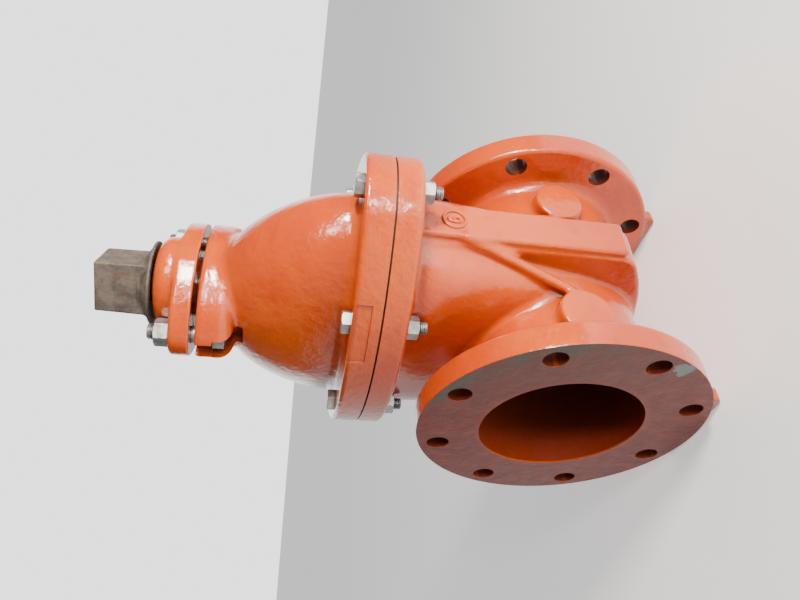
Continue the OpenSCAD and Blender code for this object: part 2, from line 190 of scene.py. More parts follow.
def gland_field(x, y, z, step):
    ears = meet_round(gland_oval(x, y), z - EAR_TOP, 4.5)
    ears = meet_round(ears, GLAND_Z - z, 1.5)
    barrel = meet_round(np.hypot(x * 1.082, y) - 50, z - BOSS_TOP + 0.5, 15)
    barrel = np.maximum(barrel, GLAND_Z + 2 - z)
    boss = meet_round(np.hypot(x, y) - 30, np.maximum(z - BOSS_TOP, GLAND_Z + 2 - z), 1.5)
    return union_round(union_round(ears, barrel, 4), boss, 4)


def wrench_field(x, y, z, step):
    u = np.abs(x * math.cos(SQUARE_TURN) + y * math.sin(SQUARE_TURN))
    v = np.abs(-x * math.sin(SQUARE_TURN) + y * math.cos(SQUARE_TURN))
    half = SQUARE_HALF - 0.8 * (z - SQUARE_Z) / SQUARE_H
    square = meet_round(meet_round(u - half, v - half, 1.7), z - NUT_TOP, 1.4)
    square = np.maximum(square, SKIRT_Z + 4 - z)
    r = np.hypot(x, y)
    t = np.clip((z - SKIRT_Z - 2.5) / 10.0, 0, 1)
    flare = 28 + 14 * (1 - t) ** 1.5
    skirt = meet_round((r - flare) * 0.7, SKIRT_Z - z, 0.8)
    skirt = np.maximum(skirt, z - SQUARE_Z - 4)
    return union_round(square, skirt, 3)


# ---- meshes from distance fields ----


def surface_net(field, low, step):
    """Closed quad mesh of the zero level of a field sampled on a grid."""
    inside = field < 0
    cells = tuple(n - 1 for n in field.shape)
    count = np.zeros(cells, np.uint8)
    for i in (0, 1):
        for j in (0, 1):
            for k in (0, 1):
                count += inside[i : i + cells[0], j : j + cells[1], k : k + cells[2]]
    at = np.nonzero((count > 0) & (count < 8))
    ids = np.full(cells, -1, np.int64)
    ids[at] = np.arange(len(at[0]))
    total = np.zeros((len(at[0]), 3))
    crossings = np.zeros(len(at[0]))
    for axis in range(3):
        others = [a for a in range(3) if a != axis]
        for p in (0, 1):
            for q in (0, 1):
                offset = np.zeros(3, int)
                offset[others[0]], offset[others[1]] = p, q
                first = tuple(at[a] + offset[a] for a in range(3))
                offset[axis] = 1
                second = tuple(at[a] + offset[a] for a in range(3))
                fa, fb = field[first], field[second]
                hit = (fa < 0) != (fb < 0)
                t = np.where(hit, fa / np.where(hit, fa - fb, 1), 0)
                offset[axis] = 0
                point = np.tile(offset.astype(float), (len(t), 1))
                point[:, axis] = t
                total[hit] += point[hit]
                crossings += hit
    verts = np.array(low) + step * (np.stack(at, 1) + total / crossings[:, None])
    faces = []
    for axis in range(3):
        b, c = (axis + 1) % 3, (axis + 2) % 3
        first = [slice(1, -1)] * 3
        first[axis] = slice(0, -1)
        second = [slice(1, -1)] * 3
        second[axis] = slice(1, None)
        change = inside[tuple(first)] != inside[tuple(second)]
        starts_in = inside[tuple(first)][change]
        place = list(np.nonzero(change))
        place[b] = place[b] + 1
        place[c] = place[c] + 1
        corner = []
        for db, dc in ((-1, -1), (0, -1), (0, 0), (-1, 0)):
            spot = list(place)
            spot[b] = spot[b] + db
            spot[c] = spot[c] + dc
            corner.append(ids[tuple(spot)])
        quad = np.stack(corner, 1)
        faces.append(np.where(starts_in[:, None], quad, quad[:, ::-1]))
    return verts, np.concatenate(faces)


def casting(name, field, high, z0, z1, step, quarter=True):
    """Object of a field's surface between z0 and z1, worked out for one quarter where all four are alike."""
    nx = int(math.ceil(high[0] / step)) + 3
    ny = int(math.ceil(high[1] / step)) + 3
    zs = np.arange(z0 - 2 * step, z1 + 3 * step, step)
    if quarter:
        x, y, z = np.meshgrid(np.arange(nx) * step, np.arange(ny) * step, zs, indexing="ij")
        f = field(x, y, z, step)
        f = np.concatenate([f[:0:-1], f])
        f = np.concatenate([f[:, :0:-1], f], 1)
    else:
        xs = np.arange(-nx + 1, nx) * step
        ys = np.arange(-ny + 1, ny) * step
        x, y, z = np.meshgrid(xs, ys, zs, indexing="ij")
        f = field(x, y, z, step)
    f = np.where(np.abs(f) < 1e-4, -1e-4, f)
    verts, faces = surface_net(f, (-(nx - 1) * step, -(ny - 1) * step, zs[0]), step)
    return mesh_object(name, verts, faces)


def mesh_object(name, verts, quads):
    mesh = bpy.data.meshes.new(name)
    mesh.vertices.add(len(verts))
    mesh.vertices.foreach_set("co", np.asarray(verts, np.float32).ravel())
    mesh.loops.add(4 * len(quads))
    mesh.loops.foreach_set("vertex_index", np.asarray(quads, np.int32).ravel())
    mesh.polygons.add(len(quads))
    mesh.polygons.foreach_set("loop_start", np.arange(0, 4 * len(quads), 4, dtype=np.int32))
    mesh.update(calc_edges=True)
    return linked(name, mesh)


def linked(name, mesh):
    obj = bpy.data.objects.new(name, mesh)
    bpy.context.scene.collection.objects.link(obj)
    return obj


def from_bmesh(name, bm):
    mesh = bpy.data.meshes.new(name)
    bmesh.ops.recalc_face_normals(bm, faces=bm.faces)
    bm.to_mesh(mesh)
    bm.free()
    return linked(name, mesh)


# ---- cutting tools ----


def lathe(profile, segments=96):
    """Closed solid of revolution about Z with flat ends, from (r, z) points listed from bottom to top."""
    angle = np.linspace(0, 2 * math.pi, segments, endpoint=False)
    bm = bmesh.new()
    rings = [[bm.verts.new((r * math.cos(a), r * math.sin(a), z)) for a in angle] for r, z in profile]
    for low, high in zip(rings, rings[1:]):
        for i in range(segments):
            j = (i + 1) % segments
            bm.faces.new((low[i], low[j], high[j], high[i]))
    bm.faces.new(rings[0][::-1])
    bm.faces.new(rings[-1])
    return bm


def tube(profile, segments=96):
    """Closed ring about Z from a closed (r, z) outline."""
    angle = np.linspace(0, 2 * math.pi, segments, endpoint=False)
    bm = bmesh.new()
    rings = [[bm.verts.new((r * math.cos(a), r * math.sin(a), z)) for r, z in profile] for a in angle]
    for i, ring in enumerate(rings):
        after = rings[(i + 1) % segments]
        for k in range(len(profile)):
            m = (k + 1) % len(profile)
            bm.faces.new((ring[k], after[k], after[m], ring[m]))
    return bm


def stroke(points, r, sides=10):
    """Closed round bar along a path in the XY plane."""
    points = np.array(points, float)
    along = np.gradient(points, axis=0)
    along /= np.hypot(along[:, 0], along[:, 1])[:, None]
    turns = np.arange(sides) * 2 * math.pi / sides
    bm = bmesh.new()
    rings = []
    for (px, py), (tx, ty) in zip(points, along):
        places = [(px - ty * r * math.cos(a), py + tx * r * math.cos(a), r * math.sin(a)) for a in turns]
        rings.append([bm.verts.new(place) for place in places])
    for low, high in zip(rings, rings[1:]):
        for i in range(sides):
            j = (i + 1) % sides
            bm.faces.new((low[i], low[j], high[j], high[i]))
    bm.faces.new(rings[0][::-1])
    bm.faces.new(rings[-1])
    return bm


def round_wire(ring_r, r):
    """Ring of round wire about Z."""
    turns = np.linspace(0, 2 * math.pi, 10, endpoint=False)
    return tube([(ring_r + r * math.cos(a), r * math.sin(a)) for a in turns], 48)


def placed(bm, matrix):
    bmesh.ops.transform(bm, matrix=matrix, verts=bm.verts)
    return bm


def along_x(bm):
    return placed(bm, Matrix.Rotation(math.pi / 2, 4, "Y"))


def box(x0, x1, y0, y1, z0, z1):
    bm = bmesh.new()
    bmesh.ops.create_cube(bm, size=1)
    centre = Vector(((x0 + x1) / 2, (y0 + y1) / 2, (z0 + z1) / 2))
    return placed(bm, Matrix.Translation(centre) @ Matrix.Diagonal((x1 - x0, y1 - y0, z1 - z0, 1)))


def hulled(bm):
    """Convex hull of the vertices in bm."""
    made = bmesh.ops.convex_hull(bm, input=bm.verts)
    loose = [v for v in made["geom_interior"] if isinstance(v, bmesh.types.BMVert)]
    bmesh.ops.delete(bm, geom=loose, context="VERTS")
    return bm


def lofted(slices, segments=96):
    """Convex hull of ellipses, each (half x, half y, z)."""
    bm = bmesh.new()
    for a, b, z in slices:
        for k in range(segments):
            t = 2 * math.pi * k / segments
            bm.verts.new((a * math.cos(t), b * math.sin(t), z))
    return hulled(bm)


def merged(parts):
    whole = bmesh.new()
    for part in parts:
        mesh = bpy.data.meshes.new("part")
        part.to_mesh(mesh)
        part.free()
        whole.from_mesh(mesh)
        bpy.data.meshes.remove(mesh)
    return whole


def carve(obj, bm, operation="DIFFERENCE"):
    """Applies a boolean with the tool in bm, which is used up."""
    tool = from_bmesh("tool", bm)
    modifier = obj.modifiers.new("carve", "BOOLEAN")
    modifier.operation = operation
    modifier.object = tool
    modifier.solver = "MANIFOLD"
    graph = bpy.context.evaluated_depsgraph_get()
    made = bpy.data.meshes.new_from_object(obj.evaluated_get(graph))
    if len(made.polygons) == 0:
        modifier.solver = "EXACT"
        graph = bpy.context.evaluated_depsgraph_get()
        made = bpy.data.meshes.new_from_object(obj.evaluated_get(graph))
        print("exact solver used on", obj.name, operation)
    obj.modifiers.clear()
    old = obj.data
    obj.data = made
    bpy.data.meshes.remove(old)
    bpy.data.objects.remove(tool)
    return obj


def finished(obj, body, nodes, material, sharp=50):
    """Scales a piece to metres, shades it, gives it its material and puts it in place of its CAD nodes."""
    mesh = obj.data
    mesh.transform(Matrix.Scale(MM, 4))
    mesh.polygons.foreach_set("use_smooth", np.ones(len(mesh.polygons), bool))
    mesh.set_sharp_from_angle(angle=math.radians(sharp))
    mesh.materials.clear()
    mesh.materials.append(material)
    mesh.polygons.foreach_set("material_index", np.zeros(len(mesh.polygons), np.int32))
    mesh.update()
    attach(obj, body)
    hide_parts(*nodes)
    return obj


# ---- materials ----


class Nodes:
    """Small helper to write a node material."""

    def __init__(self, name):
        self.material = bpy.data.materials.new(name)
        self.material.use_nodes = True
        self.tree = self.material.node_tree
        self.tree.nodes.clear()
        self.out = self.add("ShaderNodeOutputMaterial")
        self.surface = self.add("ShaderNodeBsdfPrincipled")
        self.put(self.out, "Surface", self.surface.outputs["BSDF"])
        self.place = self.add("ShaderNodeTexCoord").outputs["Object"]
        self.normal_at = self.add("ShaderNodeNewGeometry").outputs["Normal"]

    def add(self, kind):
        return self.tree.nodes.new(kind)

    def put(self, node, into, value):
        if isinstance(value, bpy.types.NodeSocket):
            self.tree.links.new(value, node.inputs[into])
        else:
            node.inputs[into].default_value = value

    def noise(self, scale, detail=4.0, rough=0.55, distortion=0.0, at=None):
        n = self.add("ShaderNodeTexNoise")
        self.put(n, "Vector", at or self.place)
        self.put(n, "Scale", scale)
        self.put(n, "Detail", detail)
        self.put(n, "Roughness", rough)
        self.put(n, "Distortion", distortion)
        return n.outputs["Fac"]

    def ramp(self, value, low, high, to_low=0.0, to_high=1.0, kind="SMOOTHSTEP"):
        n = self.add("ShaderNodeMapRange")
        n.interpolation_type = kind
        self.put(n, "Value", value)
        self.put(n, "From Min", low)
        self.put(n, "From Max", high)
        self.put(n, "To Min", to_low)
        self.put(n, "To Max", to_high)
        return n.outputs["Result"]

    def math(self, operation, a, b=0.0):
        n = self.add("ShaderNodeMath")
        n.operation = operation
        self.put(n, 0, a)
        self.put(n, 1, b)
        return n.outputs[0]

    def mix(self, factor, a, b):
        n = self.add("ShaderNodeMix")
        n.data_type = "RGBA"
        self.put(n, "Factor", factor)
        self.put(n, 6, a)
        self.put(n, 7, b)
        return n.outputs[2]

    def parts(self, vector):
        n = self.add("ShaderNodeSeparateXYZ")
        self.put(n, 0, vector)
        return n.outputs[0], n.outputs[1], n.outputs[2]

    def bump(self, height, distance, strength=1.0, normal=None):
        n = self.add("ShaderNodeBump")
        self.put(n, "Height", height)
        self.put(n, "Distance", distance)
        self.put(n, "Strength", strength)
        if normal is not None:
            self.put(n, "Normal", normal)
        return n.outputs["Normal"]

    def rounded(self, radius):
        n = self.add("ShaderNodeBevel")
        n.samples = 4
        self.put(n, "Radius", radius)
        return n.outputs["Normal"]

    def hollow(self, distance):
        n = self.add("ShaderNodeAmbientOcclusion")
        n.samples = 4
        self.put(n, "Distance", distance)
        return n.outputs["AO"]


def colour(r, g, b):
    """sRGB values from 0 to 1 as a linear RGBA tuple."""
    return tuple(c / 12.92 if c <= 0.04045 else ((c + 0.055) / 1.055) ** 2.4 for c in (r, g, b)) + (1.0,)


def epoxy():
    m = Nodes("epoxy_paint")
    x, y, z = m.parts(m.place)
    nx = m.parts(m.normal_at)[0]
    broad = m.noise(9, 3)
    patch = m.noise(38, 5, 0.6)
    speck = m.noise(420, 3, 0.5)
    base = m.mix(m.ramp(broad, 0.35, 0.65), colour(0.71, 0.235, 0.01), colour(0.78, 0.305, 0.012))
    base = m.mix(m.ramp(patch, 0.55, 0.75, 0, 0.4), base, colour(0.62, 0.16, 0.04))
    # painted shade: the paint is darkened in recesses, using the ambient occlusion
    openness_for_painted_shade = m.hollow(0.035)
    base = m.mix(m.ramp(openness_for_painted_shade, 0.15, 0.8, 0.8, 0.0), base, colour(0.34, 0.09, 0.03))
    dust = m.math("MULTIPLY", m.ramp(speck, 0.66, 0.74), m.ramp(patch, 0.45, 0.7))
    base = m.mix(m.math("MULTIPLY", dust, 0.5), base, colour(0.30, 0.10, 0.06))
    # machined flange faces: thin dull paint, with a rubbed band at the rim and a chip
    off_face = m.math("SUBTRACT", FACE_X * MM, m.math("ABSOLUTE", x))
    flat = m.ramp(m.math("ABSOLUTE", nx), 0.9, 0.97)
    face = m.math("MULTIPLY", m.ramp(off_face, 0.0002, 0.0006, 1.0, 0.0), flat)
    radius = m.math("SQRT", m.math("ADD", m.math("MULTIPLY", y, y), m.math("MULTIPLY", z, z)))
    dull = m.mix(m.ramp(m.noise(60, 6, 0.65), 0.4, 0.65), colour(0.40, 0.10, 0.05), colour(0.47, 0.15, 0.08))
    # painted sheen: the face is made lighter and greyer towards the top, where the light falls
    up = m.ramp(m.math("ADD", y, m.math("MULTIPLY", z, 0.35)), 0.02, 0.12)
    dull = m.mix(m.math("MULTIPLY", up, 0.6), dull, colour(0.38, 0.23, 0.20))
    rim = m.ramp(radius, 0.112, 0.132)
    corner = m.math("ADD", m.math("MULTIPLY", y, 0.80), m.math("MULTIPLY", z, 0.60))
    band = m.math("MULTIPLY", rim, m.ramp(corner, 0.088, 0.118))
    rub = m.math("MULTIPLY", m.ramp(m.noise(22, 8, 0.72, 0.8), 0.38, 0.52), band)
    dull = m.mix(m.math("MULTIPLY", rub, 0.85), dull, colour(0.27, 0.27, 0.23))
    chip_off = m.add("ShaderNodeVectorMath")
    chip_off.operation = "DISTANCE"
    m.put(chip_off, 0, m.place)
    m.put(chip_off, 1, (FACE_X * MM, 0.111, -0.069))
    chip_edge = m.math("ADD", chip_off.outputs["Value"], m.math("MULTIPLY", m.noise(120, 4, 0.7), 0.022))
    chip = m.ramp(chip_edge, 0.0195, 0.0205, 1.0, 0.0)
    dull = m.mix(m.math("MULTIPLY", chip, 0.85), dull, colour(0.45, 0.50, 0.48))
    lip = m.ramp(radius, 0.0795, 0.086, 1.0, 0.0)
    dull = m.mix(m.math("MULTIPLY", lip, 0.45), dull, colour(0.52, 0.18, 0.08))
    base = m.mix(face, base, dull)
    # waterway: painted shade, the paint darkens inwards from the lip
    inside = m.math("MULTIPLY", m.ramp(radius, 0.0788, 0.0795, 1.0, 0.0), m.ramp(off_face, 0.001, 0.002))
    depth = m.ramp(off_face, 0.002, 0.06, 0.0, 1.0)
    painted_bore_shade = m.mix(depth, colour(0.42, 0.13, 0.08), colour(0.18, 0.08, 0.055))
    base = m.mix(inside, base, painted_bore_shade)
    # walls of the bolt holes in the end flanges: duller paint, darkened as painted shade
    off_circle = m.math("ABSOLUTE", m.math("SUBTRACT", radius, BOLT_CIRCLE_R * MM))
    sideways = m.ramp(m.math("ABSOLUTE", nx), 0.05, 0.2, 1.0, 0.0)
    hole = m.math("MULTIPLY", m.ramp(off_circle, 0.0108, 0.0112, 1.0, 0.0), sideways)
    before_back = m.ramp(off_face, FLANGE_T * MM - 0.0002, FLANGE_T * MM + 0.0002, 1.0, 0.0)
    in_flange = m.math("MULTIPLY", m.ramp(off_face, 0.0003, 0.001), before_back)
    hole = m.math("MULTIPLY", hole, in_flange)
    base = m.mix(m.math("MULTIPLY", hole, 0.75), base, colour(0.24, 0.13, 0.10))
    m.put(m.surface, "Base Color", base)
    roughness = m.ramp(m.noise(70, 4, 0.6), 0.3, 0.75, 0.10, 0.2)
    roughness = m.math("ADD", roughness, m.math("MULTIPLY", dust, 0.25))
    worn = m.math("MAXIMUM", face, m.math("MAXIMUM", inside, hole))
    m.put(m.surface, "Roughness", m.math("ADD", roughness, m.math("MULTIPLY", worn, 0.3)))
    m.put(m.surface, "Specular IOR Level", m.math("SUBTRACT", 0.5, m.math("MULTIPLY", worn, 0.38)))
    m.put(m.surface, "IOR", 1.55)
    m.put(m.surface, "Coat Weight", 0.35)
    m.put(m.surface, "Coat Roughness", 0.12)
    cast = m.bump(m.noise(150, 4, 0.55), 0.0013, 0.55, m.rounded(0.0009))
    wavy = m.bump(m.noise(45, 2, 0.5), 0.002, 0.5, cast)
    peel = m.bump(m.noise(900, 2, 0.5), 0.0002, 0.3, wavy)
    m.put(m.surface, "Normal", peel)
    return m.material


def iron():
    m = Nodes("bare_iron")
    patch = m.noise(70, 6, 0.65)
    fine = m.noise(600, 4, 0.6)
    base = m.mix(m.ramp(patch, 0.35, 0.65), colour(0.30, 0.27, 0.25), colour(0.42, 0.37, 0.33))
    rust = m.math("MULTIPLY", m.ramp(m.noise(120, 7, 0.7, 0.4), 0.52, 0.7), 0.7)
    base = m.mix(rust, base, colour(0.42, 0.25, 0.15))
    base = m.mix(m.ramp(fine, 0.55, 0.75, 0, 0.4), base, colour(0.16, 0.14, 0.13))
    m.put(m.surface, "Base Color", base)
    m.put(m.surface, "Metallic", 0.25)
    m.put(m.surface, "Roughness", m.ramp(patch, 0.3, 0.7, 0.55, 0.8))
    rough = m.bump(m.noise(350, 5, 0.65), 0.0008, 0.6, m.rounded(0.0006))
    m.put(m.surface, "Normal", m.bump(m.noise(90, 3), 0.001, 0.35, rough))
    return m.material


def zinc():
    m = Nodes("zinc_steel")
    patch = m.noise(160, 5, 0.6)
    base = m.mix(m.ramp(patch, 0.35, 0.68), colour(0.62, 0.62, 0.60), colour(0.74, 0.75, 0.75))
    stain = m.ramp(m.noise(260, 6, 0.7), 0.56, 0.72, 0, 0.55)
    base = m.mix(stain, base, colour(0.40, 0.36, 0.31))
    # painted shade: the metal is darkened in narrow crevices, using the ambient occlusion
    painted_crevice_shade = m.ramp(m.hollow(0.004), 0.3, 0.9, 0.7, 0.0)
    base = m.mix(painted_crevice_shade, base, colour(0.20, 0.17, 0.15))
    m.put(m.surface, "Base Color", base)
    m.put(m.surface, "Metallic", 0.85)
    m.put(m.surface, "Roughness", m.ramp(patch, 0.3, 0.7, 0.3, 0.5))
    m.put(m.surface, "Normal", m.bump(m.noise(1400, 3), 0.0002, 0.4, m.rounded(0.0004)))
    return m.material


def bronze():
    m = Nodes("bronze")
    z = m.parts(m.place)[2]
    rings = m.add("ShaderNodeTexNoise")
    rings.noise_dimensions = "1D"
    m.put(rings, "W", z)
    m.put(rings, "Scale", 2500.0)
    patch = m.noise(80, 5, 0.6)
    base = m.mix(m.ramp(patch, 0.35, 0.65), colour(0.70, 0.50, 0.26), colour(0.78, 0.60, 0.34))
    grime = m.ramp(z, 0.390, 0.397, 0.0, 0.93)
    m.put(m.surface, "Base Color", m.mix(grime, base, colour(0.15, 0.13, 0.12)))
    m.put(m.surface, "Metallic", m.math("SUBTRACT", 1.0, grime))
    roughness = m.ramp(patch, 0.3, 0.7, 0.25, 0.42)
    m.put(m.surface, "Roughness", m.math("ADD", roughness, m.math("MULTIPLY", grime, 0.4)))
    m.put(m.surface, "Normal", m.bump(rings.outputs["Fac"], 0.0001, 0.5, m.rounded(0.0004)))
    return m.material


def rubber():
    m = Nodes("rubber")
    patch = m.noise(60, 5, 0.6)
    base = m.mix(m.ramp(patch, 0.4, 0.7), colour(0.09, 0.09, 0.09), colour(0.15, 0.145, 0.14))
    m.put(m.surface, "Base Color", base)
    m.put(m.surface, "Roughness", m.ramp(patch, 0.3, 0.7, 0.5, 0.7))
    m.put(m.surface, "Normal", m.bump(m.noise(1100, 3), 0.0002, 0.5, m.rounded(0.0006)))
    return m.material


def nylon():
    m = Nodes("nylon")
    patch = m.noise(90, 4, 0.6)
    base = m.mix(m.ramp(patch, 0.4, 0.7), colour(0.86, 0.84, 0.76), colour(0.90, 0.88, 0.82))
    m.put(m.surface, "Base Color", base)
    m.put(m.surface, "Roughness", m.ramp(patch, 0.3, 0.7, 0.35, 0.5))
    m.put(m.surface, "Subsurface Weight", 0.1)
    m.put(m.surface, "Subsurface Scale", 0.003)
    m.put(m.surface, "Normal", m.bump(m.noise(800, 3), 0.0002, 0.3, m.rounded(0.0006)))
    return m.material


PAINT, IRON, ZINC, BRONZE, RUBBER, NYLON = epoxy(), iron(), zinc(), bronze(), rubber(), nylon()

# ---- castings ----

STEP = 1.8


def bolt_circle(x0, x1, r):
    """Cutter for the eight bolt holes of an end flange."""
    holes = []
    for i in range(8):
        turn = Matrix.Rotation((i + 0.5) * math.pi / 4, 4, "X")
        hole = placed(lathe([(r, x0), (r, x1)], 48), Matrix.Rotation(math.pi / 2, 4, "Y"))
        holes.append(placed(hole, turn @ Matrix.Translation((0, 0, BOLT_CIRCLE_R))))
    return merged(holes)


def drill(r, x, y, z0, z1, segments=40):
    """Cutter for an upright round hole."""
    return placed(lathe([(r, z0), (r, z1)], segments), Matrix.Translation((x, y, 0)))


def joint_holes(z0, z1):
    return merged([drill(JOINT_HOLE_R, x, y, z0, z1, 32) for x, y in JOINT_BOLTS])


def seat_x(z):
    """Half the gap between the seats at a height."""
    return 27 + z * math.tan(math.radians(7))


def seat_gap():
    """Tapered slab between the seats, round at the bottom."""
    r = 87.0
    bm = bmesh.new()
    outline = [(r * math.sin(t), -r * math.cos(t)) for t in np.linspace(-math.pi / 2, math.pi / 2, 73)]
    outline = [(-r, SEAT_TOP + 1)] + outline + [(r, SEAT_TOP + 1)]
    front = [bm.verts.new((seat_x(z), y, z)) for y, z in outline]
    back = [bm.verts.new((-seat_x(z), y, z)) for y, z in outline]
    bm.faces.new(front)
    bm.faces.new(back[::-1])
    for i in range(len(outline)):
        j = (i + 1) % len(outline)
        bm.faces.new((back[i], back[j], front[j], front[i]))
    return bm


def chamber_room():
    """Room above the seats, rectangular at its foot and oval at the joint."""
    bm = bmesh.new()
    for k in range(64):
        t = 2 * math.pi * k / 64
        for z in (JOINT_Z, JOINT_Z + 1):
            bm.verts.new((72 * math.cos(t), 114 * math.sin(t), z))
    half = seat_x(SEAT_TOP) + 8
    for sx in (-1, 1):
        for sy in (-1, 1):
            bm.verts.new((sx * half, sy * 88, SEAT_TOP))
    return hulled(bm)


body = casting("valve_body_casting", body_field, (FACE_X + 6, 180), FOOT_Z, JOINT_Z + 6, STEP)
carve(body, box(-FACE_X, FACE_X, -190, 190, FOOT_Z - 0.001, JOINT_Z), "INTERSECT")
carve(body, along_x(lathe([(PORT_R, -FACE_X - 4), (PORT_R, FACE_X + 4)], 160)))
carve(body, seat_gap())
carve(body, chamber_room())
# the guide slots of the wedge's side lugs
carve(body, box(-12, 12, -120, 120, -36, JOINT_Z + 2))
carve(body, bolt_circle(FLANGE_X0 - 6, FACE_X + 4, HOLE_R_FRONT))
carve(body, bolt_circle(-FACE_X - 4, -FLANGE_X0 + 6, HOLE_R_BACK))
carve(body, joint_holes(JOINT_Z0 - 5, JOINT_Z + 4))
# the size in inches, raised in a ring on the rail
six_tail = [(-5.0, -2.2), (-5.6, -0.6), (-5.2, 1.2), (-3.8, 2.6), (-1.5, 3.3), (1.2, 3.6), (2.6, 3.6)]
on_rail = Matrix(((0, 1, 0, 0), (0, 0, 1, 130.4), (-1, 0, 0, 126), (0, 0, 0, 1)))
carve(body, placed(round_wire(10.4, 1.5), on_rail), "UNION")
carve(body, placed(placed(round_wire(3.0, 1.4), Matrix.Translation((2.6, 0.6, 0))), on_rail), "UNION")
carve(body, placed(stroke(six_tail, 1.4), on_rail), "UNION")
finished(body, "valve_body", ["body"], PAINT)

bonnet = casting("bonnet_casting", bonnet_field, (114, 180), BONNET_Z - 5, NECK_Z, STEP)
carve(bonnet, box(-190, 190, -190, 190, BONNET_Z, NECK_Z + 10), "INTERSECT")
levels = [0.0, 0.05, 0.15, 0.25, 0.33, 0.4, 0.48, 0.55, 0.6, (CAVITY_TOP - DOME_Z) / DOME_H]
room = []
for t in levels:
    half_x, half_y = dome_half(np.array(DOME_Z + t * DOME_H))
    room.append((float(half_x) - CASTING_WALL, float(half_y) - CASTING_WALL, DOME_Z + t * DOME_H))
carve(bonnet, lofted([(65, 126, BONNET_Z - 2)] + room))
carve(bonnet, lathe([(15.98, CAVITY_TOP - 5), (15.98, SHELF_Z + 1)]))
carve(bonnet, lathe([(30, SHELF_Z), (30, NECK_Z + 4)]))
carve(bonnet, joint_holes(BONNET_Z - 4, DOME_Z + 6))
for s in (-1, 1):
    x0, x1 = sorted((s * GLAND_BOLT_X, s * 90))
    carve(bonnet, box(x0, x1, -SLOT_HALF, SLOT_HALF, EAR_Z - 2, NECK_Z + 4))
    carve(bonnet, drill(GLAND_SLOT_R, s * GLAND_BOLT_X, 0, EAR_Z - 2, NECK_Z + 4))
    x0, x1 = sorted((s * (GLAND_BOLT_X - 14.3), s * 92))
    carve(bonnet, box(x0, x1, -12.5, 12.5, DOME_Z + 96, EAR_Z))
# shallow panel in the rim of the joint
panel = bmesh.new()
panel_outline = [(226.6, BONNET_Z + 9.5), (232, BONNET_Z + 8.5), (232, DOME_Z - 2), (226.6, DOME_Z - 3)]
rows = []
for t in np.radians(np.linspace(10.5, 26, 20)):
    places = [(JOINT_HALF_X - JOINT_SIDE_R + r * math.cos(t), r * math.sin(t), z) for r, z in panel_outline]
    rows.append([panel.verts.new(place) for place in places])
for low, high in zip(rows, rows[1:]):
    for k in range(4):
        panel.faces.new((low[k], low[(k + 1) % 4], high[(k + 1) % 4], high[k]))
panel.faces.new(rows[0][::-1])
panel.faces.new(rows[-1])
carve(bonnet, panel)
finished(bonnet, "valve_body", ["bonnet"], PAINT)

gland = casting("stuffing_box_casting", gland_field, (80, 52), GLAND_Z, BOSS_TOP, STEP * 0.6)
carve(gland, lathe([(STEM_HOLE_R, GLAND_Z - 4), (STEM_HOLE_R, BOSS_TOP + 4)]))
carve(gland, lathe([(SEAL_POCKET_R, BOSS_TOP - 8), (SEAL_POCKET_R, BOSS_TOP + 4)]))
for s in (-1, 1):
    carve(gland, drill(GLAND_SLOT_R, s * GLAND_BOLT_X, 0, GLAND_Z - 4, EAR_TOP + 4))
spigot_outline = [
    (STEM_HOLE_R, SPIGOT_Z + 0.5), (16.9, SPIGOT_Z), (29.4, SPIGOT_Z), (29.9, SPIGOT_Z + 0.5),
    (29.9, SPIGOT_Z + 4), (26, SPIGOT_Z + 4), (26, SPIGOT_Z + 9), (29.9, SPIGOT_Z + 9),
    (29.9, GLAND_Z + 2), (STEM_HOLE_R, GLAND_Z + 2),
]
spigot = from_bmesh("spigot", tube(spigot_outline))
gland_bm = bmesh.new()
gland_bm.from_mesh(gland.data)
gland_bm.from_mesh(spigot.data)
gland_bm.to_mesh(gland.data)
gland_bm.free()
bpy.data.objects.remove(spigot)
finished(gland, "valve_body", ["stuffing_box"], PAINT)

nut_step = 0.75
nut = casting("operating_nut", wrench_field, (44, 44), SKIRT_Z, NUT_TOP, nut_step, quarter=False)
under_skirt = [(36, -1), (35, 0), (33, 2), (18.9, 3.5), (18.9, 5.9)]
carve(nut, lathe([(r, SKIRT_Z + h) for r, h in under_skirt]))
square_hole = box(-11.1, 11.1, -11.1, 11.1, SKIRT_Z + 4, STEM_TOP + 0.2)
carve(nut, placed(square_hole, Matrix.Rotation(SQUARE_TURN, 4, "Z")))
carve(nut, lathe([(15, STEM_TOP), (15, NUT_TOP - 0.8), (16.5, NUT_TOP + 0.8)]))
finished(nut, "stem", ["wrench_nut"], IRON)


# ---- fasteners ----


def chamfered_hex(af, z0, z1, both=False, turn=0.0, bore=0.0):
    """Hexagon with its corners chamfered at 30 degrees, on top or at both ends."""
    n = 72
    angle = np.arange(n) * 2 * math.pi / n
    radius = af / 2 / np.cos((angle % (math.pi / 3)) - math.pi / 6)
    round_r = af / 2 * 0.985
    drop = np.maximum(radius - round_r, 0) * math.tan(math.radians(30))
    rings = []
    if bore:
        rings += [(np.full(n, bore), np.full(n, z0)), (np.full(n, bore + 0.9), np.full(n, z0))]
    if both:
        rings += [(np.full(n, round_r), np.full(n, z0)), (radius, z0 + drop)]
    else:
        rings += [(radius, np.full(n, z0))]
    rings += [(radius, z1 - drop), (np.full(n, round_r), np.full(n, z1))]
    if bore:
        rings += [(np.full(n, bore + 0.9), np.full(n, z1)), (np.full(n, bore), np.full(n, z1 - 0.9))]
    bm = bmesh.new()
    made = []
    for r, h in rings:
        places = zip(r * np.cos(angle + turn), r * np.sin(angle + turn), h)
        made.append([bm.verts.new(place) for place in places])
    pairs = list(zip(made, made[1:]))
    if bore:
        pairs.append((made[-1], made[0]))
    for low, high in pairs:
        for i in range(n):
            j = (i + 1) % n
            bm.faces.new((low[i], low[j], high[j], high[i]))
    if not bore:
        bm.faces.new(made[0][::-1])
        bm.faces.new(made[-1])
    return bm


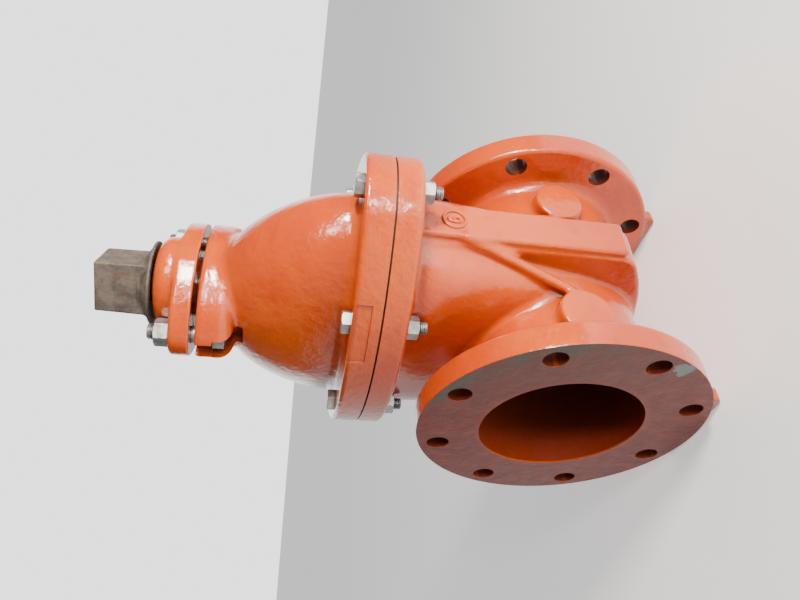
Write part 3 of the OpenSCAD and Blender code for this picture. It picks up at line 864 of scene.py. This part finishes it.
def threaded_rod(d, pitch, z0, z1, plain_to):
    """Rod with a helical thread from z0 up to plain_to, and plain above it. The lower end is chamfered."""
    n = 40
    angle = np.arange(n) * 2 * math.pi / n
    depth = 0.61 * pitch
    heights = np.concatenate([np.arange(z0, plain_to, pitch / 6), np.linspace(plain_to, z1, 3)])
    bm = bmesh.new()
    made = []
    for h in heights:
        phase = (h / pitch - angle / (2 * math.pi)) % 1
        tooth = np.clip(np.abs(phase - 0.5) * 2 * 1.25 - 0.06, 0, 1)
        fade = np.clip((plain_to - h) / pitch, 0, 1)
        start = max(0.0, 1 - (h - z0) / (0.8 * pitch))
        r = d / 2 - depth * tooth * fade
        r = np.minimum(r, d / 2 - depth * start)
        places = zip(r * np.cos(angle), r * np.sin(angle), np.full(n, h))
        made.append([bm.verts.new(place) for place in places])
    for low, high in zip(made, made[1:]):
        for i in range(n):
            j = (i + 1) % n
            bm.faces.new((low[i], low[j], high[j], high[i]))
    bm.faces.new(made[0][::-1])
    bm.faces.new(made[-1])
    return bm


def flipped(bm, z):
    """Turns a piece upside down about the height z."""
    up, down = Matrix.Translation((0, 0, z)), Matrix.Translation((0, 0, -z))
    return placed(bm, up @ Matrix.Rotation(math.pi, 4, "X") @ down)


def at(bm, x, y):
    return placed(bm, Matrix.Translation((x, y, 0)))


# how far each head and nut is turned, in radians
HEAD_TURN = [0.0, 0.32, 0.75, 0.2, 0.5, 0.9]
NUT_TURN = [0.6, 0.1, 0.4, 0.85, 0.25, 0.7]
rod_end = bottom("bonnet_bolts")
head_top = top("bonnet_bolts")
parts = []
for (x, y), turn in zip(JOINT_BOLTS, HEAD_TURN):
    parts.append(at(chamfered_hex(JOINT_HEX, DOME_Z, head_top, turn=turn), x, y))
    parts.append(at(threaded_rod(*JOINT_THREAD, rod_end, DOME_Z + 2, JOINT_Z0 + 6), x, y))
bolts = from_bmesh("bonnet_bolts_detailed", merged(parts))
finished(bolts, "valve_body", ["bonnet_bolts"], ZINC, 28)

nut_low = bottom("bonnet_nuts")
parts = []
for (x, y), turn in zip(JOINT_BOLTS, NUT_TURN):
    parts.append(at(chamfered_hex(JOINT_HEX, nut_low, JOINT_Z0, True, turn, JOINT_NUT_BORE), x, y))
nuts = from_bmesh("bonnet_nuts_detailed", merged(parts))
finished(nuts, "valve_body", ["bonnet_nuts"], ZINC, 28)

stud_top = top("stuffing_box_bolts")
head_low = bottom("stuffing_box_bolts")
parts = []
for s in (-1, 1):
    head = chamfered_hex(GLAND_HEX, head_low, EAR_Z)
    parts.append(at(flipped(head, (head_low + EAR_Z) / 2), s * GLAND_BOLT_X, 0))
    rod = threaded_rod(*GLAND_THREAD, EAR_Z - 1, stud_top, EAR_Z + 34)
    parts.append(at(flipped(rod, (EAR_Z - 1 + stud_top) / 2), s * GLAND_BOLT_X, 0))
studs = from_bmesh("stuffing_box_bolts_detailed", merged(parts))
finished(studs, "valve_body", ["stuffing_box_bolts"], ZINC, 28)

nut_top = top("stuffing_box_nuts")
parts = []
for s in (-1, 1):
    hexagon = chamfered_hex(GLAND_HEX, EAR_TOP, nut_top, True, math.pi / 6, GLAND_NUT_BORE)
    parts.append(at(hexagon, s * GLAND_BOLT_X, 0))
nuts = from_bmesh("stuffing_box_nuts_detailed", merged(parts))
finished(nuts, "valve_body", ["stuffing_box_nuts"], ZINC, 28)

washer_top = top("wrench_nut_washer")
screw_low = bottom("wrench_nut_screw")
screw_top = top("wrench_nut_screw")
parts = [chamfered_hex(SCREW_HEX, washer_top, screw_top, turn=0.4)]
parts.append(threaded_rod(*SCREW_THREAD, screw_low, washer_top + 1, washer_top - 3))
screw = from_bmesh("cap_screw_detailed", merged(parts))
finished(screw, "stem", ["wrench_nut_screw"], ZINC, 28)

# ---- pieces that keep their CAD mesh ----

PLAIN = {
    "bonnet_gasket": RUBBER, "stuffing_box_seal": RUBBER, "dirt_seal": RUBBER, "wedge_rubber": RUBBER,
    "stem_o_ring_lower": RUBBER, "stem_o_ring_middle": RUBBER, "stem_o_ring_upper": RUBBER,
    "thrust_washer_lower": NYLON, "thrust_washer_upper": NYLON,
    "guide_cap_left": NYLON, "guide_cap_right": NYLON,
    "stem": BRONZE, "stem_nut": BRONZE, "wedge_core": IRON, "wrench_nut_washer": ZINC,
}
for name, material in PLAIN.items():
    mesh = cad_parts[name].data
    mesh.materials.clear()
    mesh.materials.append(material)

# ---- floor, light and camera ----


def stage_material(name, value):
    m = Nodes(name)
    fine = m.noise(30, 3)
    pale, darker = ((v, v, v, 1) for v in (value, value * 0.985))
    m.put(m.surface, "Base Color", m.mix(m.ramp(fine, 0.3, 0.7), pale, darker))
    m.put(m.surface, "Roughness", 0.9)
    m.put(m.surface, "Emission Color", (1, 1, 1, 1))
    m.put(m.surface, "Emission Strength", 0.45)
    return m.material


floor_bm = bmesh.new()
bmesh.ops.create_grid(floor_bm, x_segments=1, y_segments=1, size=40)
floor = from_bmesh("floor", placed(floor_bm, Matrix.Translation((0, 0, FOOT_Z * MM - 0.0002))))
floor.data.materials.append(stage_material("floor_pale", 0.86))


def area_light(name, place, aim, size, power, tint=(1, 1, 1)):
    light = bpy.data.lights.new(name, "AREA")
    light.shape = "RECTANGLE"
    light.size, light.size_y = size
    light.energy = power
    light.color = tint
    obj = bpy.data.objects.new(name, light)
    bpy.context.scene.collection.objects.link(obj)
    obj.location = place
    obj.rotation_mode = "QUATERNION"
    obj.rotation_quaternion = (Vector(aim) - Vector(place)).to_track_quat("-Z", "Y")
    return obj


area_light("key", (-0.2, 1.7, 0.6), (0, 0, 0.15), (0.30, 0.20), 60, (1, 0.93, 0.82))
area_light("window", (0.35, 1.5, 0.9), (0, 0, 0.25), (0.25, 0.25), 8, (1, 0.93, 0.82))
area_light("fill", (1.5, 0.4, 0.3), (0, 0, 0.1), (1.2, 1.2), 1)
area_light("lamp", (0.45, 1.6, 0.2), (0, 0, 0.3), (0.22, 0.12), 12)

world = bpy.data.worlds.new("studio")
world.use_nodes = True
sky = world.node_tree
backing = sky.nodes["Background"]
backing.inputs["Color"].default_value = (0.97, 0.98, 1.0, 1)
towards = sky.nodes.new("ShaderNodeTexCoord").outputs["Generated"]


def lobe(direction, low, high, dim, bright):
    """Brightness that rises from dim to bright as a ray turns to a direction."""
    dot = sky.nodes.new("ShaderNodeVectorMath")
    dot.operation = "DOT_PRODUCT"
    sky.links.new(towards, dot.inputs[0])
    dot.inputs[1].default_value = Vector(direction).normalized()
    ramp = sky.nodes.new("ShaderNodeMapRange")
    ramp.interpolation_type = "SMOOTHSTEP"
    for key, value in (("From Min", low), ("From Max", high), ("To Min", dim), ("To Max", bright)):
        ramp.inputs[key].default_value = value
    sky.links.new(dot.outputs["Value"], ramp.inputs["Value"])
    return ramp.outputs["Result"]


both = sky.nodes.new("ShaderNodeMath")
sky.links.new(lobe((0.0, 1, 0.2), -0.1, 1.0, 0.13, 0.42), both.inputs[0])
sky.links.new(lobe((-0.62, -0.77, -0.15), 0.55, 0.8, 0.0, 2.2), both.inputs[1])
sky.links.new(both.outputs[0], backing.inputs["Strength"])
bpy.context.scene.world = world

camera = bpy.data.cameras.new("camera")
camera.sensor_width = 36
camera.lens = 30.2625
camera.clip_start, camera.clip_end = 0.01, 200
eye = bpy.data.objects.new("camera", camera)
bpy.context.scene.collection.objects.link(eye)
# the directions to the camera's right and out of its back
right = Vector((0.02787, 0.17383, -0.98438)).normalized()
back = Vector((0.62331, 0.76685, 0.15307)).normalized()
up = back.cross(right).normalized()
right = up.cross(back).normalized()
turn = Matrix((right, up, back)).transposed().to_4x4()
eye.matrix_world = Matrix.Translation((0.4373, 0.5453, 0.2621)) @ turn
bpy.context.scene.camera = eye
